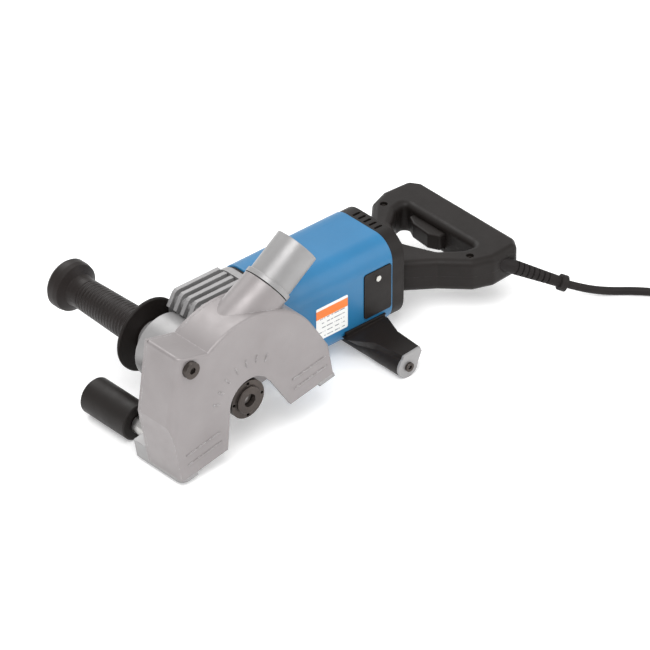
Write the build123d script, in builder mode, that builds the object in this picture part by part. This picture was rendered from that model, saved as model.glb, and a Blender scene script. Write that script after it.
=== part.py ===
"""Wall chaser: hand-held twin-wheel slot cutter with gear head, blade cover and D-handle.

Frame: millimetres. The origin is where the motor axis meets the spindle axis.
+X runs back along the motor to the handle, +Z is up, and the blade cover is on the -Y side.
"""
import os
from math import acos, cos, radians, sin, tan

from build123d import *

os.makedirs("parts", exist_ok=True)

# ---- driving dimensions -------------------------------------------------------------------
FLOOR_Z = -62.0            # surface that the machine stands on
RUN_FIT = 0.05             # radial clearance of every running fit
GAP = 0.4                  # air between neighbouring moving pieces

COVER_PITCH = 10.9         # degrees that the cover's base line rises towards the rear
COVER_R = 97.0             # outer radius of the cover's crown
COVER_BACK_Y = -56.0       # the cover's inner wall, beside the gear housing
COVER_DEPTH = 50.0
COVER_WALL = 3.5
COVER_FRONT_X = -98.0      # front leg's outer edge, along the base line
COVER_REAR_X = 104.0       # rear leg's outer edge, along the base line
BASE_DROP = 37.0           # spindle axis to the cover's base line
ARCH_R = 27.0              # spindle opening in the cover's outer face
BOSS_X = -63.0             # cover bolt, along and above the base line
BOSS_Z = 87.0
BOSS_CORNER = (-73.0, 105.0)  # front top corner, along and above the base line
BOSS_END = radians(113)       # where the corner's slope runs out on the crown
KNEE_Z = 30.0                 # front leg's straight edge ends here
SHOE_T = 4.0
SHOE_INNER_Y = -38.0

NOZZLE_Y = -79.0
NOZZLE_FOOT = (20.0, 84.0)   # where the dust passage leaves the crown, X and Z
NOZZLE_ANGLE = 36.0          # rise of the dust passage above the motor axis
NOZZLE_R = 22.5
NOZZLE_BORE_R = 19.0
NOZZLE_SEAM = 30.0           # passage foot to the nozzle's seam
NOZZLE_END = 80.0            # passage foot to the nozzle's mouth

SPINDLE_R = 7.0
SPINDLE_OUT_Y = -99.0
NECK_R = 27.0
FLANGE_R = 21.0
PILOT_R = 11.1
SPACER_T = 5.0
SPACER_COUNT = 4
NUT_T = 9.0

HEAD_R = 35.0                # gear head's front radius about the spindle
HEAD_SIDE_Y = -44.0          # head's machined face on the cover side
HEAD_FAR_Y = 26.0            # head's far end, with the side grip's boss on it
HEAD_BODY_X = 22.0           # where the square rear part of the head starts
HEAD_HALF = 44.0             # half the square part's width and height
GRIP_BOSS_Y = 45.0
GRIP_BOSS_R = 17.0
HEAD_WALL = 4.0
HEAD_REAR_X = 92.0
MOTOR_HALF_W = 46.0
MOTOR_HALF_H = 50.0
MOTOR_CORNER = 24.0
MOTOR_FRONT_X = 97.0
MOTOR_REAR_X = 241.0
MOTOR_WALL = 3.0
REAR_COVER_X = 266.0

ARMATURE_R = 23.0
SHAFT_R = 5.0
FIELD_R = 38.0

GRIP_X = 2.0                 # side grip's axis
GRIP_R = 18.5
GUARD_R = 40.0
GUARD_Y = 51.0
GRIP_END_Y = 176.0

ROLLER_X = -66.0
ROLLER_R = 19.5
ROLLER_Y0 = -14.0
ROLLER_Y1 = 52.0
ROLLER_AXLE_R = 5.0

FOOT_X = 203.0
FOOT_R = 13.0
FOOT_OUT_Y = -112.0
FOOT_IN_Y = 12.0

HANDLE_TOP_Z = 3.0
HANDLE_T = 36.0
HANDLE_OUT_Y = 83.0
HANDLE_REAR_X = 387.0
GRIP_BAR_W = 39.0
HANDLE_WALL = 3.0

TRIGGER_Y0 = -8.0
TRIGGER_Y1 = 40.0
TRIGGER_OUT = 13.0

CORD_D = 8.4
CORD_R = CORD_D / 2
COIL_MID_R = 48.0
COIL_W = 3 * CORD_D
COIL_X = 470.0
COIL_Y = -290.0

# ---- derived places -----------------------------------------------------------------------
PITCH = radians(COVER_PITCH)
BASE_DIR = (cos(PITCH), 0.0, sin(PITCH))
COVER_OUT_Y = COVER_BACK_Y - COVER_DEPTH
COVER_SPLIT_Y = COVER_BACK_Y - COVER_WALL
MOTOR_AXIS = Plane.YZ
HANDLE_MID_Z = HANDLE_TOP_Z - HANDLE_T / 2
BAR_IN_X = HANDLE_REAR_X - GRIP_BAR_W
# front roller's axis, measured along and above the cover's base line
ROLLER_LX = ROLLER_X * cos(PITCH) + (FLOOR_Z + ROLLER_R) * sin(PITCH)
ROLLER_LZ = (FLOOR_Z + ROLLER_R) * cos(PITCH) - ROLLER_X * sin(PITCH)


def side_plane(y):
    """A plane square to the spindle at depth y; it looks towards -Y, and up is +Z."""
    return Plane(origin=(0, y, 0), x_dir=(1, 0, 0), z_dir=(0, -1, 0))


def cover_plane(y):
    """The same, turned to the cover's base line."""
    return Plane(origin=(0, y, 0), x_dir=BASE_DIR, z_dir=(0, -1, 0))


def axial_plane(x):
    """A plane square to the motor axis at x; it looks towards +X."""
    return MOTOR_AXIS.offset(x)


def save(part, label):
    """Label a finished piece and write its STEP file."""
    part.label = label
    export_step(part, f"parts/{label}.step")


def ring(label, plane, outer_r, inner_r, length):
    """A plain ring, extruded along its plane's normal."""
    with BuildPart() as piece:
        with BuildSketch(plane):
            Circle(outer_r)
            Circle(inner_r, mode=Mode.SUBTRACT)
        extrude(amount=length)
    save(piece.part, label)


# ---- gear head ----------------------------------------------------------------------------
SPINDLE_IN_Y = HEAD_FAR_Y - HEAD_WALL - 0.5
GEAR_TEETH = 38
PINION_TEETH = 12
GEAR_R = 28.0
GEAR_BACK_Y = -21.0
GEAR_FACE_Y = -12.0
PINION_R = 9.6
PINION_X0 = 18.0
PINION_X1 = 29.0
BEARING_OUT_R = 15.0
NECK_LEN = 10.0
HEAD_IN_R = HEAD_R - HEAD_WALL
FIN_COUNT = 7
FIN_PITCH = 10.0
FIN_Y = 4.0
FIN_W = 4.5
FIN_X0 = 23.0
FIN_X1 = 82.0
FIN_TOP_Z = 50.0
LOCK_Y = (GEAR_FACE_Y + GEAR_BACK_Y) / 2
LOCK_R = 5.0
GRIP_STUD_R = 5.0

with BuildPart() as gear_housing:
    with BuildSketch(side_plane(HEAD_FAR_Y)):
        Circle(HEAD_R)
    extrude(amount=HEAD_FAR_Y - HEAD_SIDE_Y)
    with BuildSketch(side_plane(GRIP_BOSS_Y)):
        with Locations((GRIP_X, 0)):
            Circle(GRIP_BOSS_R)
    extrude(amount=GRIP_BOSS_Y)
    with BuildSketch(axial_plane(HEAD_BODY_X)):
        RectangleRounded(2 * HEAD_HALF, 2 * HEAD_HALF, MOTOR_CORNER - 4)
    extrude(amount=HEAD_REAR_X - HEAD_BODY_X)
    fillet(gear_housing.edges().filter_by(lambda e: abs(e.center().X - HEAD_BODY_X) < 0.01
                                          and abs(e.center().Z) > HEAD_R + 1), 5)
    with BuildSketch(axial_plane(HEAD_REAR_X - 8)):
        RectangleRounded(2 * MOTOR_HALF_W, 2 * MOTOR_HALF_H, MOTOR_CORNER)
    extrude(amount=8)
    # cooling ribs over the head, with the air slots sunk between them
    for i in range(FIN_COUNT):
        y = FIN_Y + (i - (FIN_COUNT - 1) / 2) * FIN_PITCH
        with BuildSketch(Plane.XZ.offset(-y - FIN_W / 2)):
            Polygon((FIN_X0 - 8, 34), (FIN_X0, FIN_TOP_Z - 2), (FIN_X0 + 3, FIN_TOP_Z),
                    (FIN_X1, FIN_TOP_Z), (FIN_X1, 34), (HEAD_BODY_X, 30), (FIN_X0, 24), align=None)
        extrude(amount=FIN_W)
    with BuildSketch(side_plane(HEAD_FAR_Y - HEAD_WALL)):
        Circle(HEAD_IN_R)
    extrude(amount=HEAD_FAR_Y - HEAD_SIDE_Y - HEAD_WALL, mode=Mode.SUBTRACT)
    with BuildSketch(axial_plane(HEAD_BODY_X + HEAD_WALL)):
        RectangleRounded(2 * (HEAD_HALF - HEAD_WALL), 2 * (HEAD_HALF - HEAD_WALL),
                         MOTOR_CORNER - 8)
    extrude(amount=HEAD_REAR_X, mode=Mode.SUBTRACT)
    for i in range(FIN_COUNT - 1):
        y = FIN_Y + (i - (FIN_COUNT - 2) / 2) * FIN_PITCH
        with BuildSketch(Plane.XY.offset(HEAD_HALF - HEAD_WALL - 6)):
            with Locations((FIN_X0 + 24, y)):
                SlotOverall(30, FIN_PITCH - FIN_W - 0.5)
        extrude(amount=30, mode=Mode.SUBTRACT)
    # grip thread and lock-pin hole
    with BuildSketch(side_plane(GRIP_BOSS_Y - 14)):
        with Locations((GRIP_X, 0)):
            Circle(GRIP_STUD_R)
    extrude(amount=-20, mode=Mode.SUBTRACT)
    with BuildSketch(Plane.YZ.offset(-HEAD_R - 5)):
        with Locations((LOCK_Y, 0)):
            Circle(LOCK_R + RUN_FIT)
    extrude(amount=HEAD_R - 10, mode=Mode.SUBTRACT)
save(gear_housing.part, "gear_housing")

with BuildPart() as bearing_box:
    with BuildSketch(side_plane(HEAD_SIDE_Y)):
        Circle(NECK_R + 8)
    extrude(amount=4)
    with BuildSketch(side_plane(HEAD_SIDE_Y - 4)):
        Circle(NECK_R)
    extrude(amount=NECK_LEN)
    with BuildSketch(side_plane(HEAD_SIDE_Y)):
        Circle(NECK_R - 1)
    extrude(amount=-8)
    with BuildSketch(side_plane(HEAD_SIDE_Y + 8)):
        Circle(BEARING_OUT_R)
    extrude(amount=12, mode=Mode.SUBTRACT)
    with BuildSketch(side_plane(HEAD_SIDE_Y)):
        Circle(SPINDLE_R + 4)
    extrude(amount=40, mode=Mode.SUBTRACT)
    with BuildSketch(side_plane(HEAD_SIDE_Y + 8)):
        with PolarLocations(NECK_R + 4, 4, start_angle=45):
            Circle(2)
    extrude(amount=40, mode=Mode.SUBTRACT)
save(bearing_box.part, "bearing_box")

with BuildPart() as bearing_box_screws:
    with BuildSketch(side_plane(HEAD_SIDE_Y - 4)):
        with PolarLocations(NECK_R + 4, 4, start_angle=45):
            Circle(3.5)
    extrude(amount=2.5)
    with BuildSketch(side_plane(HEAD_SIDE_Y - 4)):
        with PolarLocations(NECK_R + 4, 4, start_angle=45):
            Circle(2)
    extrude(amount=-4)
save(bearing_box_screws.part, "bearing_box_screws")

ring("spindle_outer_bearing", side_plane(HEAD_SIDE_Y + 8), BEARING_OUT_R, SPINDLE_R + RUN_FIT, 12)
with BuildPart() as spindle_inner_bearing:
    with BuildSketch(side_plane(HEAD_FAR_Y - HEAD_WALL)):
        Circle(BEARING_OUT_R)
        Circle(SPINDLE_R + RUN_FIT, mode=Mode.SUBTRACT)
    extrude(amount=9)
save(spindle_inner_bearing.part, "spindle_inner_bearing")

with BuildPart() as spindle:
    with BuildSketch(side_plane(SPINDLE_IN_Y)):
        Circle(SPINDLE_R)
    extrude(amount=SPINDLE_IN_Y - SPINDLE_OUT_Y)
    chamfer(spindle.edges().filter_by(GeomType.CIRCLE).sort_by(Axis.Y)[0], 1.2)
save(spindle.part, "spindle")

with BuildPart() as bevel_gear:
    with BuildSketch(side_plane(GEAR_FACE_Y)):
        Circle(GEAR_R - 3)
    extrude(amount=GEAR_FACE_Y - GEAR_BACK_Y)
    with BuildSketch(side_plane(GEAR_FACE_Y)):
        with PolarLocations(GEAR_R - 4, GEAR_TEETH):
            RectangleRounded(8, 2.2, 0.6)
    extrude(amount=GEAR_FACE_Y - GEAR_BACK_Y - 3)
    with BuildSketch(side_plane(GEAR_FACE_Y)):
        Circle(SPINDLE_R)
    extrude(amount=30, mode=Mode.SUBTRACT)
save(bevel_gear.part, "bevel_gear")

with BuildPart() as bevel_pinion:
    with BuildSketch(axial_plane(PINION_X0)):
        Circle(PINION_R)
    extrude(amount=PINION_X1 - PINION_X0, taper=-8)
    with BuildSketch(axial_plane(PINION_X0)):
        with PolarLocations(PINION_R, PINION_TEETH):
            RectangleRounded(3.4, 2.0, 0.6)
    extrude(amount=PINION_X1 - PINION_X0)
    with BuildSketch(axial_plane(PINION_X0 - 1)):
        Circle(SHAFT_R)
    extrude(amount=40, mode=Mode.SUBTRACT)
save(bevel_pinion.part, "bevel_pinion")

NECK_END_Y = HEAD_SIDE_Y - 4 - NECK_LEN
FLANGE_Y = NECK_END_Y - 1.5
FLANGE_T = 6.0
PILOT_T = 7.0
SPACER_Y = FLANGE_Y - FLANGE_T - PILOT_T

with BuildPart() as inner_flange:
    with BuildSketch(side_plane(FLANGE_Y)):
        Circle(FLANGE_R)
    extrude(amount=FLANGE_T)
    with BuildSketch(side_plane(FLANGE_Y - FLANGE_T)):
        Circle(PILOT_R)
    extrude(amount=PILOT_T)
    with BuildSketch(side_plane(FLANGE_Y)):
        Circle(SPINDLE_R)
    extrude(amount=FLANGE_T + PILOT_T, mode=Mode.SUBTRACT)
    chamfer(inner_flange.edges().filter_by(GeomType.CIRCLE).sort_by(Axis.Y)[-1], 1)
save(inner_flange.part, "inner_flange")

SPACER_GAP = 0.05
with BuildPart() as spacer_rings:
    for i in range(SPACER_COUNT):
        with BuildSketch(side_plane(SPACER_Y - i * (SPACER_T + SPACER_GAP))):
            Circle(FLANGE_R - 2)
            Circle(SPINDLE_R, mode=Mode.SUBTRACT)
        extrude(amount=SPACER_T)
save(spacer_rings.part, "spacer_rings")

NUT_Y = SPACER_Y - SPACER_COUNT * (SPACER_T + SPACER_GAP)
with BuildPart() as lock_nut:
    with BuildSketch(side_plane(NUT_Y)):
        Circle(FLANGE_R)
    extrude(amount=NUT_T)
    with BuildSketch(side_plane(NUT_Y - NUT_T)):
        Circle(FLANGE_R - 6)
    extrude(amount=3)
    with BuildSketch(side_plane(NUT_Y)):
        Circle(SPINDLE_R)
    extrude(amount=NUT_T + 3, mode=Mode.SUBTRACT)
    with BuildSketch(side_plane(NUT_Y - NUT_T + 4)):
        with PolarLocations(FLANGE_R - 3, 4):
            Circle(1.9)
    extrude(amount=8, mode=Mode.SUBTRACT)
    chamfer(lock_nut.faces().sort_by(Axis.Y)[0].outer_wire().edges(), 1)
save(lock_nut.part, "lock_nut")

with BuildPart() as shaft_lock_button:
    with BuildSketch(Plane.YZ.offset(-HEAD_R - 8)):
        with Locations((LOCK_Y, 0)):
            Circle(LOCK_R)
    extrude(amount=13)
    with BuildSketch(Plane.YZ.offset(-HEAD_R - 10)):
        with Locations((LOCK_Y, 0)):
            Circle(LOCK_R + 2)
    extrude(amount=4)
    chamfer(shaft_lock_button.edges().filter_by(GeomType.CIRCLE).sort_by(Axis.X)[0], 1)
save(shaft_lock_button.part, "shaft_lock_button")


# ---- blade cover, turning about the gear head's neck ----------------------------------------
COLLAR_R = NECK_R + RUN_FIT
SLOT_FRONT_X = -38.0
SLOT_REAR_X = 46.0
NOZZLE_DIR = (cos(radians(NOZZLE_ANGLE)), 0.0, sin(radians(NOZZLE_ANGLE)))
NOZZLE_PLANE = Plane(origin=(NOZZLE_FOOT[0], NOZZLE_Y, NOZZLE_FOOT[1]), x_dir=(0, 1, 0),
                     z_dir=NOZZLE_DIR)
TICK_R = 47.0
LEG_ROUND = 9.0
BOLT_R = 5.0


def cover_outline(inset=0.0):
    """The cover's side outline, less a wall of the given inset; open along the base line."""
    crown = COVER_R - inset
    front, rear = COVER_FRONT_X + inset, COVER_REAR_X - inset
    tangent = acos(crown / rear)
    Circle(crown)
    Polygon((front, -BASE_DROP), (front, KNEE_Z), (BOSS_CORNER[0] + inset, BOSS_CORNER[1] - inset),
            (crown * cos(BOSS_END), crown * sin(BOSS_END)), (0, -BASE_DROP), align=None)
    Polygon((0, -BASE_DROP), (rear, -BASE_DROP), (rear, 0),
            (crown * cos(tangent), crown * sin(tangent)), (0, crown * sin(tangent)), align=None)


with BuildPart() as shoulder:
    with BuildSketch(NOZZLE_PLANE.offset(-40)):
        Ellipse(COVER_DEPTH / 2 + 1, 33)
    with BuildSketch(NOZZLE_PLANE.offset(NOZZLE_SEAM - 1)):
        Circle(NOZZLE_R + 2)
    loft()


def nozzle_shoulder(mode):
    """The conical shoulder that carries the dust passage up and back."""
    add(shoulder.part, mode=mode)


with BuildPart() as blade_cover:
    with BuildSketch(cover_plane(COVER_SPLIT_Y)):
        cover_outline()
        with Locations((0, -BASE_DROP - COVER_R)):
            Rectangle(4 * COVER_R, 2 * COVER_R, mode=Mode.SUBTRACT)
    extrude(amount=COVER_SPLIT_Y - COVER_OUT_Y)
    rim = blade_cover.faces().sort_by(Axis.Y)[0].outer_wire().edges()
    fillet(rim.sort_by(Axis.X)[0], LEG_ROUND)
    fillet(blade_cover.faces().sort_by(Axis.Y)[0].outer_wire().edges().filter_by(
        lambda e: e.center().Z > FLOOR_Z + 34 and e.center().X > COVER_FRONT_X + 20), 3)
    nozzle_shoulder(Mode.ADD)
    with BuildSketch(cover_plane(COVER_SPLIT_Y)):
        cover_outline(COVER_WALL)
        with Locations((0, -BASE_DROP - COVER_R)):
            Rectangle(4 * COVER_R, 2 * COVER_R)
    extrude(amount=COVER_DEPTH - 2 * COVER_WALL, mode=Mode.SUBTRACT)
    with BuildSketch(NOZZLE_PLANE.offset(-30)):
        Circle(NOZZLE_BORE_R)
    extrude(amount=100, mode=Mode.SUBTRACT)
    # arch in the outer face, open down between the legs
    with BuildSketch(cover_plane(COVER_OUT_Y + COVER_WALL)):
        Circle(ARCH_R)
        Polygon((-ARCH_R, 2), (ARCH_R, 8), (SLOT_REAR_X, -BASE_DROP - 1),
                (SLOT_FRONT_X, -BASE_DROP - 1), align=None)
    extrude(amount=2 * COVER_WALL, mode=Mode.SUBTRACT)
    with BuildSketch(cover_plane(COVER_OUT_Y)):
        with Locations((BOSS_X, BOSS_Z)):
            Circle(BOLT_R)
    extrude(amount=-COVER_DEPTH, mode=Mode.SUBTRACT)
    # raised angle marks round the arch
    with BuildSketch(cover_plane(COVER_OUT_Y)):
        for angle in range(54, 152, 16):
            with Locations((TICK_R * cos(radians(angle)), TICK_R * sin(radians(angle)))):
                Rectangle(8 if angle % 32 else 5, 1.4, rotation=angle)
    extrude(amount=0.8)
    # cast ribs across both legs
    with BuildSketch(cover_plane(COVER_OUT_Y)):
        for height in (-BASE_DROP + 15, -BASE_DROP + 27):
            with Locations(((COVER_FRONT_X + SLOT_FRONT_X) / 2 + 3, height)):
                Rectangle(44, 1.6)
            with Locations(((COVER_REAR_X + SLOT_REAR_X) / 2, height)):
                Rectangle(44, 1.6)
    extrude(amount=0.8)
save(blade_cover.part, "blade_cover")

with BuildPart() as cover_back:
    with BuildSketch(cover_plane(COVER_BACK_Y)):
        cover_outline()
        with Locations((0, -BASE_DROP - COVER_R)):
            Rectangle(4 * COVER_R, 2 * COVER_R, mode=Mode.SUBTRACT)
        with Locations((BOSS_X, BOSS_Z)):
            Circle(BOLT_R, mode=Mode.SUBTRACT)
    extrude(amount=COVER_WALL)
    nozzle_shoulder(Mode.SUBTRACT)
    # collar round the neck
    with BuildSketch(cover_plane(COVER_BACK_Y + 5)):
        Circle(COLLAR_R + 4)
    extrude(amount=5)
    with BuildSketch(cover_plane(COVER_BACK_Y + 5)):
        Circle(COLLAR_R)
    extrude(amount=COVER_WALL + 6, mode=Mode.SUBTRACT)
save(cover_back.part, "cover_back")

with BuildPart() as dust_nozzle:
    with BuildSketch(NOZZLE_PLANE.offset(NOZZLE_SEAM - 8)):
        Circle(NOZZLE_R + 0.5)
    extrude(amount=NOZZLE_END - NOZZLE_SEAM + 8)
    with BuildSketch(NOZZLE_PLANE.offset(NOZZLE_SEAM)):
        Circle(NOZZLE_R + 2.5)
    extrude(amount=5)
    with BuildSketch(NOZZLE_PLANE.offset(-40)):
        Circle(NOZZLE_BORE_R)
    extrude(amount=200, mode=Mode.SUBTRACT)
    with BuildSketch(NOZZLE_PLANE.offset(-40)):
        Circle(NOZZLE_R + 20)
    extrude(amount=40 + NOZZLE_SEAM, mode=Mode.SUBTRACT)
save(dust_nozzle.part, "dust_nozzle")

with BuildPart() as cover_bolt:
    with BuildSketch(cover_plane(COVER_OUT_Y)):
        with Locations((BOSS_X, BOSS_Z)):
            Circle(BOLT_R + 4)
    extrude(amount=5)
    with BuildSketch(cover_plane(COVER_OUT_Y)):
        with Locations((BOSS_X, BOSS_Z)):
            Circle(BOLT_R)
    extrude(amount=-COVER_DEPTH - 6)
    with BuildSketch(cover_plane(COVER_BACK_Y)):
        with Locations((BOSS_X, BOSS_Z)):
            RegularPolygon(BOLT_R + 4, 6)
    extrude(amount=-5)
    with BuildSketch(cover_plane(COVER_OUT_Y - 5)):
        with Locations((BOSS_X, BOSS_Z)):
            RegularPolygon(4, 6)
    extrude(amount=-3, mode=Mode.SUBTRACT)
save(cover_bolt.part, "cover_bolt")

# split clamp band on the cover's collar
BAND_Y = COVER_BACK_Y + 5
with BuildPart() as clamp_band:
    with BuildSketch(cover_plane(BAND_Y)):
        Circle(COLLAR_R + 6.5)
        with Locations((-COLLAR_R - 10, 0)):
            Rectangle(14, 20)
        Circle(COLLAR_R + 4, mode=Mode.SUBTRACT)
        with Locations((-COLLAR_R - 12, 0)):
            Rectangle(24, 3, mode=Mode.SUBTRACT)
    extrude(amount=4.5)
save(clamp_band.part, "clamp_band")

SHOE_RAIL_Y = COVER_BACK_Y + 6
PAD_W = 46.0

with BuildPart() as base_shoe:
    # sole frame under both legs, with a rail along the inner side and an open middle
    with BuildSketch(cover_plane(SHOE_RAIL_Y)):
        with Locations(((COVER_FRONT_X + COVER_REAR_X) / 2, -BASE_DROP - SHOE_T / 2)):
            Rectangle(COVER_REAR_X - COVER_FRONT_X, SHOE_T)
    extrude(amount=SHOE_RAIL_Y - COVER_OUT_Y)
    with BuildSketch(cover_plane(COVER_BACK_Y)):
        with Locations(((COVER_FRONT_X + COVER_REAR_X) / 2, -BASE_DROP)):
            Rectangle(COVER_REAR_X - COVER_FRONT_X - 40, 4 * SHOE_T)
    extrude(amount=2 * COVER_DEPTH, mode=Mode.SUBTRACT)
    fillet(base_shoe.edges().filter_by(lambda e: abs(e.length - SHOE_T) < 0.01
                                       and e.center().Y < COVER_OUT_Y + 1).sort_by(Axis.X)[0], LEG_ROUND)
    # block beside the front leg that carries the roller's axle
    with BuildSketch(cover_plane(SHOE_INNER_Y)):
        with Locations((COVER_FRONT_X + PAD_W / 2, -BASE_DROP + 7)):
            Rectangle(PAD_W, 14 + 2 * SHOE_T)
    extrude(amount=SHOE_INNER_Y - COVER_BACK_Y)
    with BuildSketch(cover_plane(SHOE_INNER_Y)):
        with Locations((ROLLER_LX, ROLLER_LZ)):
            Circle(ROLLER_AXLE_R)
    extrude(amount=20, mode=Mode.SUBTRACT)
save(base_shoe.part, "base_shoe")

with BuildPart() as roller_axle:
    with BuildSketch(cover_plane(ROLLER_Y1 + 4)):
        with Locations((ROLLER_LX, ROLLER_LZ)):
            Circle(ROLLER_AXLE_R)
    extrude(amount=ROLLER_Y1 + 4 - COVER_BACK_Y)
    with BuildSketch(cover_plane(ROLLER_Y1 + 4)):
        with Locations((ROLLER_LX, ROLLER_LZ)):
            Circle(ROLLER_AXLE_R + 4)
    extrude(amount=3.5)
    with BuildSketch(cover_plane(ROLLER_Y0 - 1)):
        with Locations((ROLLER_LX, ROLLER_LZ)):
            Circle(ROLLER_AXLE_R + 5)
    extrude(amount=ROLLER_Y0 - 1 - SHOE_INNER_Y)
save(roller_axle.part, "roller_axle")

with BuildPart() as front_roller:
    with BuildSketch(cover_plane(ROLLER_Y1)):
        with Locations((ROLLER_LX, ROLLER_LZ)):
            Circle(ROLLER_R)
    extrude(amount=ROLLER_Y1 - ROLLER_Y0)
    chamfer(front_roller.edges().filter_by(GeomType.CIRCLE), 1.5)
    with BuildSketch(cover_plane(ROLLER_Y1)):
        with Locations((ROLLER_LX, ROLLER_LZ)):
            Circle(ROLLER_AXLE_R + RUN_FIT)
    extrude(amount=ROLLER_Y1 - ROLLER_Y0, mode=Mode.SUBTRACT)
save(front_roller.part, "front_roller")


# ---- side grip ------------------------------------------------------------------------------
with BuildPart() as side_grip:
    with BuildSketch(Plane.XY.offset(0)):
        with BuildLine():
            Polyline((GRIP_X, GRIP_BOSS_Y), (GRIP_X + 16, GRIP_BOSS_Y), (GRIP_X + 16, GUARD_Y),
                     (GRIP_X + GRIP_R - 1, GUARD_Y + 4), (GRIP_X + GRIP_R, GUARD_Y + 30),
                     (GRIP_X + GRIP_R - 2, GRIP_END_Y - 28), (GRIP_X + GRIP_R - 1, GRIP_END_Y - 22),
                     (GRIP_X + GRIP_R + 7, GRIP_END_Y - 17), (GRIP_X + GRIP_R + 8, GRIP_END_Y - 12),
                     (GRIP_X + GRIP_R + 8, GRIP_END_Y - 4), (GRIP_X + GRIP_R + 5, GRIP_END_Y),
                     (GRIP_X, GRIP_END_Y), close=True)
        make_face()
    revolve(axis=Axis((GRIP_X, 0, 0), (0, 1, 0)))
    fillet(side_grip.edges().filter_by(GeomType.CIRCLE).group_by(Axis.Y)[-1], 2)
    with BuildSketch(side_plane(GRIP_BOSS_Y)):
        with Locations((GRIP_X, 0)):
            Circle(GRIP_STUD_R)
    extrude(amount=-40, mode=Mode.SUBTRACT)
save(side_grip.part, "side_grip")

with BuildPart() as guard_disc:
    with BuildSketch(side_plane(GUARD_Y)):
        with Locations((GRIP_X, 0)):
            Circle(GUARD_R)
            Circle(16, mode=Mode.SUBTRACT)
    extrude(amount=4)
    chamfer(guard_disc.edges().filter_by(GeomType.CIRCLE).filter_by(
        lambda e: e.radius > GUARD_R - 1), 1.2)
save(guard_disc.part, "guard_disc")

with BuildPart() as grip_stud:
    with BuildSketch(side_plane(GRIP_BOSS_Y - 14)):
        with Locations((GRIP_X, 0)):
            Circle(GRIP_STUD_R)
    extrude(amount=-54)
save(grip_stud.part, "grip_stud")


# ---- motor ------------------------------------------------------------------------------------
PANEL_X0 = 203.0
PANEL_X1 = 239.0
PANEL_H = 52.0
LABEL_X = 160.0
BRUSH_X = 221.0
BAFFLE_GAP = MOTOR_FRONT_X - HEAD_REAR_X

with BuildPart() as baffle:
    with BuildSketch(axial_plane(HEAD_REAR_X)):
        RectangleRounded(2 * MOTOR_HALF_W - 4, 2 * MOTOR_HALF_H - 4, MOTOR_CORNER - 2)
        Circle(34, mode=Mode.SUBTRACT)
    extrude(amount=BAFFLE_GAP)
save(baffle.part, "air_baffle")

with BuildPart() as motor_housing:
    with BuildSketch(axial_plane(MOTOR_FRONT_X)):
        RectangleRounded(2 * MOTOR_HALF_W, 2 * MOTOR_HALF_H, MOTOR_CORNER)
    extrude(amount=MOTOR_REAR_X - MOTOR_FRONT_X)
    fillet(motor_housing.faces().sort_by(Axis.X)[0].edges(), 1.5)
    # shallow seats for the side panels
    for side in (-1, 1):
        with BuildSketch(Plane.XZ.offset(-side * (MOTOR_HALF_W - 1.2))):
            with Locations(((PANEL_X0 + PANEL_X1) / 2, 0)):
                RectangleRounded(PANEL_X1 - PANEL_X0 + 0.4, PANEL_H + 0.4, 3)
        extrude(amount=-side * 5, mode=Mode.SUBTRACT)
    with BuildSketch(axial_plane(MOTOR_FRONT_X)):
        Circle(FIELD_R)
    extrude(amount=MOTOR_REAR_X - MOTOR_FRONT_X, mode=Mode.SUBTRACT)
    with BuildSketch(axial_plane(MOTOR_FRONT_X)):
        RectangleRounded(2 * (MOTOR_HALF_W - MOTOR_WALL), 2 * (MOTOR_HALF_H - MOTOR_WALL),
                         MOTOR_CORNER - MOTOR_WALL)
    extrude(amount=24, mode=Mode.SUBTRACT)
save(motor_housing.part, "motor_housing")

with BuildPart() as side_panels:
    for side in (-1, 1):
        with BuildSketch(Plane.XZ.offset(-side * (MOTOR_HALF_W - 1.2))):
            with Locations(((PANEL_X0 + PANEL_X1) / 2, 0)):
                RectangleRounded(PANEL_X1 - PANEL_X0, PANEL_H, 3)
        extrude(amount=-side * 2.2)
save(side_panels.part, "side_panels")

with BuildPart() as panel_screws:
    for side in (-1, 1):
        with BuildSketch(Plane.XZ.offset(-side * (MOTOR_HALF_W + 1))):
            with Locations(((PANEL_X0 + PANEL_X1) / 2, 16)):
                Circle(3.2)
        extrude(amount=-side * 1.2)
save(panel_screws.part, "panel_screws")

with BuildPart() as rating_plate:
    with BuildSketch(side_plane(-MOTOR_HALF_W)):
        with Locations((LABEL_X, -5)):
            RectangleRounded(42, 38, 1.5)
    extrude(amount=0.4)
save(rating_plate.part, "rating_plate")

with BuildPart() as field_core:
    with BuildSketch(axial_plane(128)):
        Circle(FIELD_R)
        Circle(ARMATURE_R + 1, mode=Mode.SUBTRACT)
        for angle in (0, 180):
            with Locations(Rotation(0, 0, angle) * Location((ARMATURE_R + 7, 0))):
                RectangleRounded(8, 30, 2, mode=Mode.SUBTRACT)
    extrude(amount=60)
save(field_core.part, "field_core")

with BuildPart() as field_coils:
    for side in (-1, 1):
        with BuildSketch(axial_plane(120)):
            with Locations((side * (ARMATURE_R + 7), 0)):
                RectangleRounded(6.4, 28, 2)
        extrude(amount=76)
save(field_coils.part, "field_coils")

with BuildPart() as armature_shaft:
    with BuildSketch(axial_plane(PINION_X0)):
        Circle(SHAFT_R)
    extrude(amount=232)
save(armature_shaft.part, "armature_shaft")

with BuildPart() as armature_core:
    with BuildSketch(axial_plane(128)):
        Circle(ARMATURE_R)
        with PolarLocations(ARMATURE_R, 14):
            Rectangle(5, 1.8, mode=Mode.SUBTRACT)
        Circle(SHAFT_R, mode=Mode.SUBTRACT)
    extrude(amount=60)
save(armature_core.part, "armature_core")

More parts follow.
